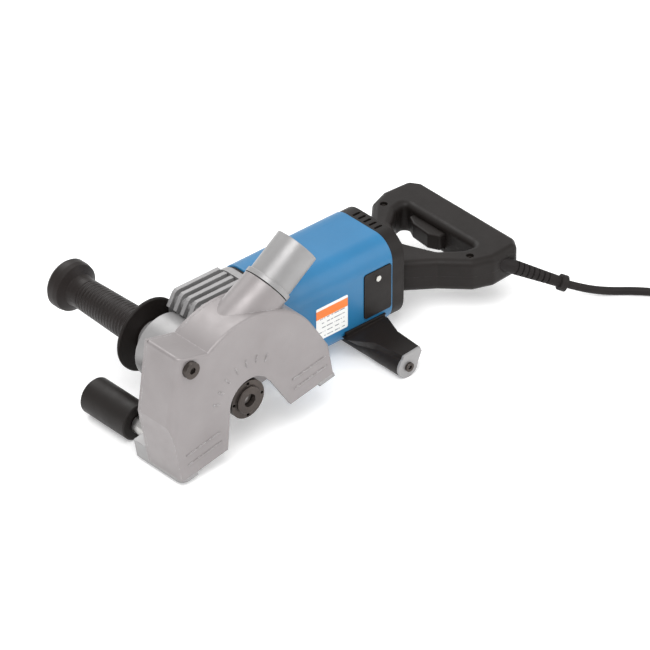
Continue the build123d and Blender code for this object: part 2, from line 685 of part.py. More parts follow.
with BuildPart() as armature_windings:
    for start in (119, 188):
        with BuildSketch(axial_plane(start)):
            Circle(ARMATURE_R - 3)
            Circle(SHAFT_R, mode=Mode.SUBTRACT)
        extrude(amount=9)
save(armature_windings.part, "armature_windings")

with BuildPart() as commutator:
    with BuildSketch(axial_plane(BRUSH_X - 11)):
        Circle(15)
        with PolarLocations(15, 24):
            Rectangle(2, 0.7, mode=Mode.SUBTRACT)
        Circle(SHAFT_R, mode=Mode.SUBTRACT)
    extrude(amount=22)
save(commutator.part, "commutator")

with BuildPart() as cooling_fan:
    with BuildSketch(axial_plane(104)):
        Circle(FIELD_R - 3)
        Circle(SHAFT_R, mode=Mode.SUBTRACT)
    extrude(amount=2.5)
    with BuildSketch(axial_plane(104)):
        Circle(11)
        with PolarLocations(23, 16):
            Rectangle(19, 1.8)
        Circle(SHAFT_R, mode=Mode.SUBTRACT)
    extrude(amount=12)
save(cooling_fan.part, "cooling_fan")

with BuildPart() as front_bearing_plate:
    with BuildSketch(axial_plane(80)):
        RectangleRounded(2 * (HEAD_HALF - HEAD_WALL), 2 * (HEAD_HALF - HEAD_WALL),
                         MOTOR_CORNER - 8)
        Circle(13, mode=Mode.SUBTRACT)
        with PolarLocations(26, 6):
            Circle(7, mode=Mode.SUBTRACT)
    extrude(amount=10)
save(front_bearing_plate.part, "front_bearing_plate")

ring("front_motor_bearing", axial_plane(80), 13, SHAFT_R + RUN_FIT, 10)
ring("rear_motor_bearing", axial_plane(242), 11, SHAFT_R + RUN_FIT, 8)

with BuildPart() as brush_holders:
    for side in (-1, 1):
        with BuildSketch(Plane.XZ.offset(-side * 16.5)):
            with Locations((BRUSH_X, 0)):
                Rectangle(14, 11)
                Rectangle(10, 7, mode=Mode.SUBTRACT)
        extrude(amount=-side * 21)
save(brush_holders.part, "brush_holders")

with BuildPart() as carbon_brushes:
    for side in (-1, 1):
        with BuildSketch(Plane.XZ.offset(-side * (15 + GAP))):
            with Locations((BRUSH_X, 0)):
                Rectangle(9.8, 6.8)
        extrude(amount=-side * 15)
save(carbon_brushes.part, "carbon_brushes")

# ---- rear cover and foot ------------------------------------------------------------------------
NECK_HALF_W = 26.0
with BuildPart() as rear_cover:
    with BuildSketch(axial_plane(MOTOR_REAR_X)):
        RectangleRounded(2 * MOTOR_HALF_W - 1, 2 * MOTOR_HALF_H - 1, MOTOR_CORNER)
    extrude(amount=16)
    with BuildSketch(axial_plane(MOTOR_REAR_X + 16)):
        RectangleRounded(2 * MOTOR_HALF_W - 1, 2 * MOTOR_HALF_H - 1, MOTOR_CORNER)
    with BuildSketch(axial_plane(REAR_COVER_X)):
        with Locations((0, HANDLE_MID_Z / 2)):
            RectangleRounded(2 * NECK_HALF_W + 20, 2 * MOTOR_HALF_H - 30, MOTOR_CORNER - 4)
    loft()
    with BuildSketch(axial_plane(MOTOR_REAR_X)):
        Circle(FIELD_R)
    extrude(amount=15, mode=Mode.SUBTRACT)
    with BuildSketch(axial_plane(MOTOR_REAR_X)):
        with GridLocations(2 * 20, 0, 2, 1):
            Rectangle(5, 10)
    extrude(amount=20)
    with BuildSketch(axial_plane(242)):
        Circle(13)
    extrude(amount=16)
    with BuildSketch(axial_plane(MOTOR_REAR_X)):
        Circle(11)
    extrude(amount=12, mode=Mode.SUBTRACT)
    for i in range(5):
        with BuildSketch(Plane.XY.offset(MOTOR_HALF_H - 3)):
            with Locations((MOTOR_REAR_X + 8, (i - 2) * 8)):
                SlotOverall(10, 3.2)
        extrude(amount=10, mode=Mode.SUBTRACT)
save(rear_cover.part, "rear_cover")


def foot_section(y, spread):
    """The foot's side section at depth y: a teardrop whose top is spread wider by spread."""
    with BuildSketch(side_plane(y)) as section:
        with Locations((FOOT_X, FLOOR_Z + FOOT_R)):
            Circle(FOOT_R)
        Polygon((FOOT_X - FOOT_R + 1, FLOOR_Z + FOOT_R), (FOOT_X - 6 - spread, -35),
                (FOOT_X + 16 + 0.5 * spread, -33), (FOOT_X + 18 + 0.5 * spread, -38),
                (FOOT_X + FOOT_R, FLOOR_Z + FOOT_R), align=None)
    return section.sketch


with BuildPart() as rear_foot:
    for near, far, wide, narrow in ((FOOT_IN_Y, -52, 22, 22), (-52, -76, 22, 4),
                                    (-76, FOOT_OUT_Y + 3, 4, 0)):
        with BuildSketch(side_plane(near)):
            add(foot_section(near, wide))
        with BuildSketch(side_plane(far)):
            add(foot_section(far, narrow))
        loft()
    with BuildSketch(side_plane(FOOT_IN_Y)):
        Polygon((FOOT_X - 26, -30), (FOOT_X - 22, -40), (FOOT_X + 22, -40), (FOOT_X + 28, -30),
                align=None)
    extrude(amount=FOOT_IN_Y + MOTOR_HALF_W + 2)
    with BuildSketch(axial_plane(0)):
        RectangleRounded(2 * MOTOR_HALF_W, 2 * MOTOR_HALF_H, MOTOR_CORNER)
    extrude(amount=500, mode=Mode.SUBTRACT)
save(rear_foot.part, "rear_foot")

with BuildPart() as foot_plate:
    with BuildSketch(side_plane(FOOT_OUT_Y + 3)):
        add(foot_section(FOOT_OUT_Y + 3, 0))
    extrude(amount=3)
    fillet(foot_plate.faces().sort_by(Axis.Y)[0].edges(), 1)
save(foot_plate.part, "foot_plate")

with BuildPart() as foot_screw:
    with BuildSketch(side_plane(FOOT_OUT_Y)):
        with Locations((FOOT_X, FLOOR_Z + FOOT_R)):
            Circle(5)
            RegularPolygon(2.6, 6, mode=Mode.SUBTRACT)
    extrude(amount=2.5)
save(foot_screw.part, "foot_screw")


# ---- D-handle -------------------------------------------------------------------------------------
HANDLE_ROUND = 7.0
SCREW_SPOTS = [(330, -64), (330, 64), (281, 0)]
HANDLE_OUTER = [(REAR_COVER_X, -NECK_HALF_W), (299, -50), (324, -75), (346, -HANDLE_OUT_Y),
                (HANDLE_REAR_X - 8, -HANDLE_OUT_Y + 2), (HANDLE_REAR_X, -HANDLE_OUT_Y + 14)]
HANDLE_INNER = [(298, 0), (313, -34), (334, -50), (BAR_IN_X, -53)]
BUTTON_Y = 16.0
BUTTON_R = 5.0
BUTTON_OUT = 4.0
TRIGGER_H = 18.0
SLEEVE_R = 7.5
SLEEVE_LEN = 74.0
CORD_EXIT = (360.0, -78.0, HANDLE_MID_Z + 3)
CORD_DIR = (0.76, -0.48, -0.44)
CORD_PLANE = Plane(origin=CORD_EXIT, z_dir=CORD_DIR)


def both_sides(points):
    """A run of points on the -Y side, carried on as its mirror image on the +Y side."""
    return points + [(x, -y) for x, y in reversed(points) if y != 0]


def handle_half(label, z_split, direction):
    """One shell of the D-handle, from the split plane up (direction 1) or down (-1)."""
    half_t = HANDLE_T / 2
    plane = Plane.XY.offset(z_split)
    with BuildPart() as half:
        with BuildSketch(plane) as outline:
            Polygon(*both_sides(HANDLE_OUTER), align=None)
            fillet(outline.vertices().filter_by(lambda v: v.X > REAR_COVER_X + 20), 8)
            with BuildSketch(plane, mode=Mode.PRIVATE) as loop:
                Polygon(*both_sides(HANDLE_INNER[1:]), HANDLE_INNER[0], align=None)
                fillet(loop.vertices(), 5)
            add(loop.sketch, mode=Mode.SUBTRACT)
        extrude(amount=direction * half_t)
        rim = half.faces().sort_by(Axis.Z)[-1 if direction > 0 else 0]
        fillet(rim.edges().filter_by(lambda e: e.center().X > REAR_COVER_X + 1), HANDLE_ROUND)
        with BuildSketch(plane):
            add(outline.sketch)
            offset(amount=-HANDLE_WALL - 1)
        extrude(amount=direction * (half_t - 2 * HANDLE_WALL), mode=Mode.SUBTRACT)
        with BuildSketch(plane):
            with Locations(*SCREW_SPOTS):
                Circle(6)
        extrude(amount=direction * (half_t - HANDLE_WALL))
        with BuildSketch(plane):
            with Locations(*SCREW_SPOTS):
                Circle(2)
        extrude(amount=direction * (half_t - 5), mode=Mode.SUBTRACT)
        with BuildSketch(plane.offset(direction * (half_t - 5))):
            with Locations(*SCREW_SPOTS):
                Circle(4)
        extrude(amount=direction * 10, mode=Mode.SUBTRACT)
        # windows for the trigger, the lock button and the lead's sleeve
        with BuildSketch(Plane.YZ.offset(BAR_IN_X - 2)):
            with Locations(((TRIGGER_Y0 + TRIGGER_Y1) / 2, HANDLE_MID_Z)):
                Rectangle(TRIGGER_Y1 - TRIGGER_Y0 + 2 * GAP, TRIGGER_H + 2 * GAP)
        extrude(amount=12, mode=Mode.SUBTRACT)
        with BuildSketch(Plane.YZ.offset(HANDLE_REAR_X - 12)):
            with Locations((BUTTON_Y, HANDLE_MID_Z)):
                Circle(BUTTON_R + GAP)
        extrude(amount=20, mode=Mode.SUBTRACT)
        with BuildSketch(CORD_PLANE.offset(-12)):
            Circle(SLEEVE_R)
        extrude(amount=60, mode=Mode.SUBTRACT)
    save(half.part, label)


handle_half("handle_top", HANDLE_MID_Z, 1)
handle_half("handle_bottom", HANDLE_MID_Z, -1)

with BuildPart() as handle_screws:
    for x, y in SCREW_SPOTS:
        with BuildSketch(Plane.XY.offset(HANDLE_TOP_Z - 5)):
            with Locations((x, y)):
                Circle(3.6)
        extrude(amount=2.4)
        with BuildSketch(Plane.XY.offset(HANDLE_TOP_Z - 5)):
            with Locations((x, y)):
                Circle(2)
        extrude(amount=-HANDLE_T + 11)
        with BuildSketch(Plane.XY.offset(HANDLE_TOP_Z - 3.4)):
            with Locations((x, y)):
                Rectangle(4.6, 1.1)
                Rectangle(1.1, 4.6)
        extrude(amount=2, mode=Mode.SUBTRACT)
save(handle_screws.part, "handle_screws")

with BuildPart() as trigger:
    with BuildSketch(Plane.XY.offset(HANDLE_MID_Z - TRIGGER_H / 2)):
        Polygon((BAR_IN_X + 8, TRIGGER_Y0), (BAR_IN_X - 7, TRIGGER_Y0),
                (BAR_IN_X - TRIGGER_OUT, TRIGGER_Y0 + 12), (BAR_IN_X - TRIGGER_OUT + 2, TRIGGER_Y1 - 12),
                (BAR_IN_X - 5, TRIGGER_Y1), (BAR_IN_X + 8, TRIGGER_Y1), align=None)
    extrude(amount=TRIGGER_H)
    fillet(trigger.edges().filter_by(Axis.Z).filter_by(lambda e: e.center().X < BAR_IN_X - 1), 3)
    fillet(trigger.edges().filter_by(lambda e: e.center().X < BAR_IN_X - 7.5), 2)
save(trigger.part, "trigger")

with BuildPart() as lock_button:
    with BuildSketch(Plane.YZ.offset(HANDLE_REAR_X - 10)):
        with Locations((BUTTON_Y, HANDLE_MID_Z)):
            Circle(BUTTON_R)
    extrude(amount=10 + BUTTON_OUT)
    fillet(lock_button.edges().sort_by(Axis.X)[-1], 1.2)
save(lock_button.part, "lock_button")

with BuildPart() as switch_body:
    with BuildSketch(Plane.XY.offset(HANDLE_MID_Z - 8)):
        with Locations((BAR_IN_X + 20, (TRIGGER_Y0 + TRIGGER_Y1) / 2 - 2)):
            RectangleRounded(9, 38, 1.5)
    extrude(amount=16)
save(switch_body.part, "switch_body")

# ---- mains lead -------------------------------------------------------------------------------------
with BuildPart() as cord_sleeve:
    with BuildSketch(CORD_PLANE.offset(-12)):
        Circle(SLEEVE_R)
    extrude(amount=24)
    with BuildSketch(CORD_PLANE.offset(12)):
        Circle(SLEEVE_R)
    with BuildSketch(CORD_PLANE.offset(SLEEVE_LEN - 7)):
        Circle(SLEEVE_R - 1.8)
    loft()
    with BuildSketch(CORD_PLANE.offset(SLEEVE_LEN - 7)):
        Circle(SLEEVE_R + 1)
    extrude(amount=7)
    for i in range(7):
        with BuildSketch(CORD_PLANE.offset(16 + i * 6)):
            Circle(SLEEVE_R + 1)
            Circle(SLEEVE_R - 1.4 - 0.2 * i, mode=Mode.SUBTRACT)
        extrude(amount=1.6, mode=Mode.SUBTRACT)
save(cord_sleeve.part, "cord_sleeve")

CORD_Z = FLOOR_Z + CORD_R
CORD_START = CORD_PLANE.origin + CORD_PLANE.z_dir * SLEEVE_LEN
CORD_ROUTE = [tuple(CORD_START), (432, -123.6, -52.6), (452, -137.5, CORD_Z), (475, -157, CORD_Z),
              (496, -183, CORD_Z), (512, -213, CORD_Z), (522.5, -245, CORD_Z),
              (526.4, -272, CORD_Z)]


def corner_radii(route):
    """The arc radius at each corner: as large as the two runs beside it allow."""
    radii = []
    for before, here, after in zip(route, route[1:], route[2:]):
        run_in = Vector(*here) - Vector(*before)
        run_out = Vector(*after) - Vector(*here)
        turn = radians(run_in.get_angle(run_out))
        radii.append(0.45 * min(run_in.length, run_out.length) / tan(turn / 2))
    return radii


RADII = corner_radii(CORD_ROUTE)
print("cord radii", [round(r) for r in RADII])
with BuildPart() as cord_tube:
    with BuildLine() as cord_path:
        FilletPolyline(*CORD_ROUTE, radius=RADII)
    with BuildSketch(CORD_PLANE.offset(SLEEVE_LEN)):
        Circle(CORD_R)
    sweep(path=cord_path.wires()[0], transition=Transition.ROUND)
save(cord_tube.part, "cord_tube")
print("cord volume", round(cord_tube.part.volume), "section x length",
      round(3.14159 * CORD_R ** 2 * cord_path.wires()[0].length))

with BuildPart() as cord_coil:
    with BuildSketch(Plane.XY.offset(FLOOR_Z)):
        with Locations((COIL_X, COIL_Y)):
            Circle(COIL_MID_R + COIL_W / 2)
            Circle(COIL_MID_R - COIL_W / 2, mode=Mode.SUBTRACT)
    extrude(amount=COIL_W)
    fillet(cord_coil.edges(), CORD_R - 0.7)
save(cord_coil.part, "cord_coil")

PLUG_R = 17.0
PLUG_Z = FLOOR_Z + PLUG_R
PLUG_Y = COIL_Y - COIL_MID_R
PLUG_X = COIL_X - 34.0
PLUG_LEN = 46.0
with BuildPart() as plug_body:
    with BuildSketch(Plane.XY.offset(PLUG_Z)):
        Polygon((PLUG_X, PLUG_Y), (PLUG_X, PLUG_Y + 6), (PLUG_X - 16, PLUG_Y + 9),
                (PLUG_X - 24, PLUG_Y + PLUG_R - 1.5), (PLUG_X - 40, PLUG_Y + PLUG_R),
                (PLUG_X - PLUG_LEN, PLUG_Y + PLUG_R), (PLUG_X - PLUG_LEN, PLUG_Y), align=None)
    revolve(axis=Axis((PLUG_X, PLUG_Y, PLUG_Z), (1, 0, 0)))
    chamfer(plug_body.edges().filter_by(GeomType.CIRCLE).sort_by(Axis.X)[0], 1.5)
save(plug_body.part, "plug_body")

with BuildPart() as plug_pins:
    with BuildSketch(Plane.YZ.offset(PLUG_X - PLUG_LEN)):
        with Locations((PLUG_Y, PLUG_Z + 9.5), (PLUG_Y, PLUG_Z - 9.5)):
            Circle(2.4)
    extrude(amount=-19)
save(plug_pins.part, "plug_pins")
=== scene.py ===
"""Looks of the wall chaser: finishes, small fittings, the mains lead, light and camera."""

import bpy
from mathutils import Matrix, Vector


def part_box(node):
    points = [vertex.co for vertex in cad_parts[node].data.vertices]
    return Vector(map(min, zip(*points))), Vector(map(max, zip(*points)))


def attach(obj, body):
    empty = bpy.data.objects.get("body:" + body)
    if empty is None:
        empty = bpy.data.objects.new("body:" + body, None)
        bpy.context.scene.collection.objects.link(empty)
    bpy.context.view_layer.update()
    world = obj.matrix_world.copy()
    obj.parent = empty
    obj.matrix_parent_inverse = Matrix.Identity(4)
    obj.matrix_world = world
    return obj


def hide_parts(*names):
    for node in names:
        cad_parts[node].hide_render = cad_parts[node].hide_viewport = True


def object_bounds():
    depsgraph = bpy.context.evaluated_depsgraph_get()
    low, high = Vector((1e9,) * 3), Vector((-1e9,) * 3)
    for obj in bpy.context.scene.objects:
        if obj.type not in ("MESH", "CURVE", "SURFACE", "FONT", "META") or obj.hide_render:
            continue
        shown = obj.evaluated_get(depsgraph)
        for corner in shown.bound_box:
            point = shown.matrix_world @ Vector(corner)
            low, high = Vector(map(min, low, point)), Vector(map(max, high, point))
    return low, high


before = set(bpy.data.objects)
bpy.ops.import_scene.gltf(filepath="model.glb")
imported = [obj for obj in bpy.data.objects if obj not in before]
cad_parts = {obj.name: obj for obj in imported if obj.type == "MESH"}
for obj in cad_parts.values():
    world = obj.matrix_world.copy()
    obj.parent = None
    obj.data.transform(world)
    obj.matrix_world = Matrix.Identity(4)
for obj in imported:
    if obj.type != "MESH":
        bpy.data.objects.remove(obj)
CAD_BOX = [list(corner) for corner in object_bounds()]

import logging
import math
from collections.abc import Sequence
from dataclasses import dataclass
from enum import Enum

import bpy
from mathutils import Euler, Vector

LOG = logging.getLogger("wall_chaser")
MM = 0.001
FULL_TURN = 2 * math.pi

# noise frequencies, per metre
PATCH_SCALE = 22.0
CHIP_SCALE = 260.0
SHEEN_SCALE = 70.0
PRINT_SCALE = 420.0
FILM_SCALE = 900.0
# how much an edge has to turn before its wear starts, and where it is full
WEAR_TURN = (0.03, 0.2)
CHIP_RANGE = (0.45, 0.7)
# sockets of the colour Mix node, whose names repeat
MIX_FACTOR, MIX_FIRST, MIX_SECOND, MIX_RESULT = 0, 6, 7, 2

Point = tuple[float, float, float]
Colour = tuple[float, float, float, float]


class Grain(Enum):
    """How a surface's fine grain runs."""

    EVEN = (1.0, 1.0, 1.0)
    TURNED_ALONG_Y = (1.0, 0.04, 1.0)
    TURNED_ALONG_X = (0.04, 1.0, 1.0)


class Body(Enum):
    """The body that the lead and its strap ride on."""

    MACHINE = "machine"


class NodeBench:
    """A small workbench for wiring one material's shader nodes."""

    def __init__(self, name: str) -> None:
        """Start a material with one Principled shader.

        Args:
            name: the material's name.
        """
        self.material = bpy.data.materials.new(name)
        self.material.use_nodes = True
        self.tree = self.material.node_tree
        self.shader = self.tree.nodes["Principled BSDF"]

    def add(self, kind: str, **settings: object) -> bpy.types.Node:
        """Add a node and set its properties.

        Args:
            kind: the node's Blender type name.
            settings: property names and values.

        Returns:
            The new node.
        """
        node = self.tree.nodes.new(kind)
        for key, value in settings.items():
            setattr(node, key, value)
        return node

    def join(self, source: object, target: object) -> None:
        """Link an output socket to an input socket."""
        self.tree.links.new(source, target)

    def coords(self, stretch: Sequence[float] = (1.0, 1.0, 1.0)) -> object:
        """Object coordinates, stretched along each axis.

        Args:
            stretch: the scale on X, Y and Z.

        Returns:
            The vector output socket.
        """
        place = self.add("ShaderNodeTexCoord")
        mapping = self.add("ShaderNodeMapping")
        mapping.inputs["Scale"].default_value = stretch
        self.join(place.outputs["Object"], mapping.inputs["Vector"])
        return mapping.outputs["Vector"]

    def noise(self, vector: object, scale: float, detail: float = 4.0) -> object:
        """A noise value between 0 and 1.

        Args:
            vector: the coordinates' socket.
            scale: the noise's frequency per metre.
            detail: its octaves.

        Returns:
            The factor output socket.
        """
        node = self.add("ShaderNodeTexNoise")
        node.inputs["Scale"].default_value = scale
        node.inputs["Detail"].default_value = detail
        self.join(vector, node.inputs["Vector"])
        return node.outputs["Fac"]

    def spread(self, value: object, low: float, high: float, start: float = 0.3,
               end: float = 0.7) -> object:
        """Map a value from one range to another, clamped.

        Args:
            value: the socket to map.
            low: the output at start.
            high: the output at end.
            start: the input that gives low.
            end: the input that gives high.

        Returns:
            The result socket.
        """
        node = self.add("ShaderNodeMapRange")
        for socket, number in (("From Min", start), ("From Max", end), ("To Min", low),
                               ("To Max", high)):
            node.inputs[socket].default_value = number
        self.join(value, node.inputs["Value"])
        return node.outputs["Result"]

    def blend(self, factor: object, first: object, second: object) -> object:
        """Mix two colours.

        Args:
            factor: the mixing socket.
            first: a colour or a socket, at factor 0.
            second: a colour or a socket, at factor 1.

        Returns:
            The colour socket.
        """
        node = self.add("ShaderNodeMix", data_type="RGBA")
        self.join(factor, node.inputs[MIX_FACTOR])
        for slot, item in ((MIX_FIRST, first), (MIX_SECOND, second)):
            if isinstance(item, tuple):
                node.inputs[slot].default_value = item
            else:
                self.join(item, node.inputs[slot])
        return node.outputs[MIX_RESULT]

    def sharpness(self, radius_mm: float) -> object:
        """How far the surface turns within a small radius: 0 on flats, more at edges.

        Args:
            radius_mm: the radius to look round, in millimetres.

        Returns:
            The value socket.
        """
        bevel = self.add("ShaderNodeBevel", samples=4)
        bevel.inputs["Radius"].default_value = radius_mm * MM
        geometry = self.add("ShaderNodeNewGeometry")
        dot = self.add("ShaderNodeVectorMath", operation="DOT_PRODUCT")
        self.join(bevel.outputs[0], dot.inputs[0])
        self.join(geometry.outputs["Normal"], dot.inputs[1])
        rest = self.add("ShaderNodeMath", operation="SUBTRACT")
        rest.inputs[0].default_value = 1.0
        self.join(dot.outputs["Value"], rest.inputs[1])
        return rest.outputs[0]

    def relief(self, heights: Sequence[tuple[object, float]], round_mm: float) -> None:
        """Stack bump maps over softened edges and wire them to the shader.

        Args:
            heights: pairs of height socket and depth in millimetres.
            round_mm: the radius that edges look rounded to.
        """
        bevel = self.add("ShaderNodeBevel", samples=6)
        bevel.inputs["Radius"].default_value = round_mm * MM
        normal = bevel.outputs[0]
        for socket, depth in heights:
            bump = self.add("ShaderNodeBump")
            bump.inputs["Distance"].default_value = depth * MM
            bump.inputs["Strength"].default_value = 1.0
            self.join(socket, bump.inputs["Height"])
            self.join(normal, bump.inputs["Normal"])
            normal = bump.outputs[0]
        self.join(normal, self.shader.inputs["Normal"])


@dataclass(frozen=True)
class Finish:
    """A surface finish with grain, uneven sheen, soiling and worn edges."""

    name: str
    colour: Colour
    shade: Colour
    roughness: tuple[float, float]
    metallic: float = 0.0
    grain: Grain = Grain.EVEN
    grain_scale: float = 1800.0
    grain_depth: float = 0.05
    wave_scale: float = 60.0
    wave_depth: float = 0.0
    wear: Colour | None = None
    edge_mm: float = 0.6
    specular: float = 0.5

    def base_colour(self, bench: NodeBench, vector: object) -> object:
        """The colour over the surface: two shades, with wear on the proud edges."""
        patches = bench.spread(bench.noise(vector, PATCH_SCALE, 5.0), 0.0, 1.0)
        colour = bench.blend(patches, self.colour, self.shade)
        if self.wear is None:
            return colour
        edges = bench.spread(bench.sharpness(self.edge_mm), 0.0, 1.0, *WEAR_TURN)
        chips = bench.spread(bench.noise(vector, CHIP_SCALE, 6.0), 0.0, 1.0, *CHIP_RANGE)
        both = bench.add("ShaderNodeMath", operation="MULTIPLY")
        bench.join(edges, both.inputs[0])
        bench.join(chips, both.inputs[1])
        return bench.blend(both.outputs[0], colour, self.wear)

    def heights(self, bench: NodeBench, vector: object) -> list[tuple[object, float]]:
        """The height maps of the finish, with their depths in millimetres."""
        fine = bench.noise(vector, self.grain_scale, 3.0)
        layers = [(fine, self.grain_depth)]
        if self.wave_depth:
            layers.append((bench.noise(vector, self.wave_scale, 2.0), self.wave_depth))
        return layers

    def make(self) -> bpy.types.Material:
        """Build the material.

        Returns:
            The finished Blender material.
        """
        bench = NodeBench(self.name)
        even = bench.coords()
        grained = bench.coords(self.grain.value)
        bench.join(self.base_colour(bench, even), bench.shader.inputs["Base Color"])
        sheen = bench.noise(even, SHEEN_SCALE, 6.0)
        bench.join(bench.spread(sheen, *self.roughness), bench.shader.inputs["Roughness"])
        bench.shader.inputs["Metallic"].default_value = self.metallic
        bench.shader.inputs["Specular IOR Level"].default_value = self.specular
        bench.relief(self.heights(bench, grained), self.edge_mm)
        return bench.material


@dataclass(frozen=True)
class RibbedGrip(Finish):
    """Moulded plastic with shallow rings round a grip that lies along Y."""

    pitch_mm: float = 4.5
    start_mm: float = 64.0
    end_mm: float = 140.0
    ring_depth_mm: float = 0.7
    ring_crest: tuple[float, float] = (-0.4, 0.8)

    def heights(self, bench: NodeBench, vector: object) -> list[tuple[object, float]]:
        """The grain, and rings between the grip's two ends."""
        place = bench.add("ShaderNodeTexCoord")
        split = bench.add("ShaderNodeSeparateXYZ")
        bench.join(place.outputs["Object"], split.inputs[0])
        turns = bench.add("ShaderNodeMath", operation="MULTIPLY")
        turns.inputs[1].default_value = FULL_TURN / (self.pitch_mm * MM)
        bench.join(split.outputs["Y"], turns.inputs[0])
        wave = bench.add("ShaderNodeMath", operation="SINE")
        bench.join(turns.outputs[0], wave.inputs[0])
        rings = bench.spread(wave.outputs[0], 0.0, 1.0, *self.ring_crest)
        start = bench.spread(split.outputs["Y"], 0.0, 1.0, self.start_mm * MM,
                             (self.start_mm + 1) * MM)
        end = bench.spread(split.outputs["Y"], 1.0, 0.0, self.end_mm * MM,
                           (self.end_mm + 1) * MM)
        window = bench.add("ShaderNodeMath", operation="MULTIPLY")
        bench.join(start, window.inputs[0])
        bench.join(end, window.inputs[1])
        shown = bench.add("ShaderNodeMath", operation="MULTIPLY")
        bench.join(window.outputs[0], shown.inputs[0])
        bench.join(rings, shown.inputs[1])
        return super().heights(bench, vector) + [(shown.outputs[0], self.ring_depth_mm)]


@dataclass(frozen=True)
class PrintedFilm:
    """A generic rating plate: white film, an orange band and rows of grey dashes."""

    name: str = "printed_film"
    paper: Colour = (0.84, 0.84, 0.82, 1.0)
    band: Colour = (0.85, 0.22, 0.05, 1.0)
    ink: Colour = (0.22, 0.23, 0.25, 1.0)
    row_pitch_mm: float = 5.2
    row_half_mm: float = 0.55
    margin_mm: float = 4.0
    band_top_mm: float = 3.0
    band_foot_mm: float = 13.0

    def step(self, bench: NodeBench, value: object, low: float, high: float) -> object:
        """1 where the value lies between low and high, else 0."""
        above = bench.add("ShaderNodeMath", operation="GREATER_THAN")
        above.inputs[1].default_value = low
        below = bench.add("ShaderNodeMath", operation="LESS_THAN")
        below.inputs[1].default_value = high
        both = bench.add("ShaderNodeMath", operation="MULTIPLY")
        bench.join(value, above.inputs[0])
        bench.join(value, below.inputs[0])
        bench.join(above.outputs[0], both.inputs[0])
        bench.join(below.outputs[0], both.inputs[1])
        return both.outputs[0]

    def make(self) -> bpy.types.Material:
        """Build the material.

        Returns:
            The finished Blender material.
        """
        low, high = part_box("rating_plate")
        bench = NodeBench(self.name)
        place = bench.add("ShaderNodeTexCoord")
        split = bench.add("ShaderNodeSeparateXYZ")
        bench.join(place.outputs["Object"], split.inputs[0])
        height = split.outputs["Z"]
        along = split.outputs["X"]
        rows = bench.add("ShaderNodeMath", operation="PINGPONG")
        rows.inputs[1].default_value = self.row_pitch_mm / 2 * MM
        bench.join(height, rows.inputs[0])
        line = self.step(bench, rows.outputs[0], 0.0, self.row_half_mm * MM)
        words = bench.spread(bench.noise(bench.coords((1.0, 1.0, 0.2)), PRINT_SCALE, 2.0),
                             0.0, 1.0, 0.47, 0.5)
        inked = bench.add("ShaderNodeMath", operation="MULTIPLY")
        bench.join(line, inked.inputs[0])
        bench.join(words, inked.inputs[1])
        margin = self.step(bench, along, low[0] + self.margin_mm * MM,
                           high[0] - self.margin_mm * MM)
        kept = bench.add("ShaderNodeMath", operation="MULTIPLY")
        bench.join(inked.outputs[0], kept.inputs[0])
        bench.join(margin, kept.inputs[1])
        colour = bench.blend(kept.outputs[0], self.paper, self.ink)
        stripe = self.step(bench, height, high[2] - self.band_foot_mm * MM,
                           high[2] - self.band_top_mm * MM)
        colour = bench.blend(stripe, colour, self.band)
        bench.join(colour, bench.shader.inputs["Base Color"])
        bench.shader.inputs["Roughness"].default_value = 0.32
        bench.relief([(bench.noise(bench.coords(), FILM_SCALE), 0.01)], 0.2)
        return bench.material


SILVER = Finish("cast_silver_paint", (0.30, 0.295, 0.295, 1), (0.26, 0.255, 0.255, 1), (0.34, 0.46),
                metallic=0.35, grain_scale=1500, grain_depth=0.035, wave_scale=90, wave_depth=0.06,
                wear=(0.62, 0.62, 0.63, 1), edge_mm=0.9)
COVER_SILVER = Finish("cover_silver_paint", (0.275, 0.255, 0.255, 1), (0.245, 0.225, 0.225, 1),
                      (0.36, 0.5), metallic=0.3, grain_scale=1300, grain_depth=0.04, wave_scale=80,
                      wave_depth=0.07, wear=(0.6, 0.6, 0.61, 1), edge_mm=1.0)
BLUE = Finish("blue_moulding", (0.016, 0.160, 0.340, 1), (0.013, 0.140, 0.300, 1), (0.32, 0.44),
              grain_scale=2600, grain_depth=0.02, wave_scale=60, wave_depth=0.03,
              wear=(0.06, 0.26, 0.46, 1), edge_mm=0.9)
BLACK = Finish("black_moulding", (0.010, 0.008, 0.007, 1), (0.014, 0.011, 0.010, 1), (0.40, 0.55),
               grain_scale=2200, grain_depth=0.05, wear=(0.04, 0.034, 0.03, 1), edge_mm=0.9, specular=0.22)
GRIP = RibbedGrip("ribbed_grip_moulding", (0.012, 0.009, 0.008, 1), (0.016, 0.012, 0.011, 1),
                  (0.38, 0.55), grain_scale=2200, grain_depth=0.04,
                  wear=(0.04, 0.034, 0.03, 1), edge_mm=1.0, specular=0.22)
RUBBER = Finish("black_rubber", (0.011, 0.009, 0.009, 1), (0.017, 0.014, 0.013, 1), (0.5, 0.68),
                grain_scale=1500, grain_depth=0.05, edge_mm=0.5, specular=0.2)
STEEL = Finish("turned_steel", (0.50, 0.49, 0.48, 1), (0.40, 0.39, 0.38, 1), (0.22, 0.38),
               metallic=1.0, grain=Grain.TURNED_ALONG_Y, grain_scale=2400, grain_depth=0.015,
               edge_mm=0.4)
SHAFT_STEEL = Finish("ground_shaft_steel", (0.50, 0.49, 0.48, 1), (0.42, 0.41, 0.40, 1),
                     (0.2, 0.34), metallic=1.0, grain=Grain.TURNED_ALONG_X, grain_scale=2400,
                     grain_depth=0.012, edge_mm=0.4)
DARK_STEEL = Finish("blackened_steel", (0.050, 0.042, 0.038, 1), (0.080, 0.066, 0.058, 1),
                    (0.32, 0.5), metallic=0.85, grain_scale=1200, grain_depth=0.03,
                    wear=(0.35, 0.32, 0.30, 1), edge_mm=0.6)
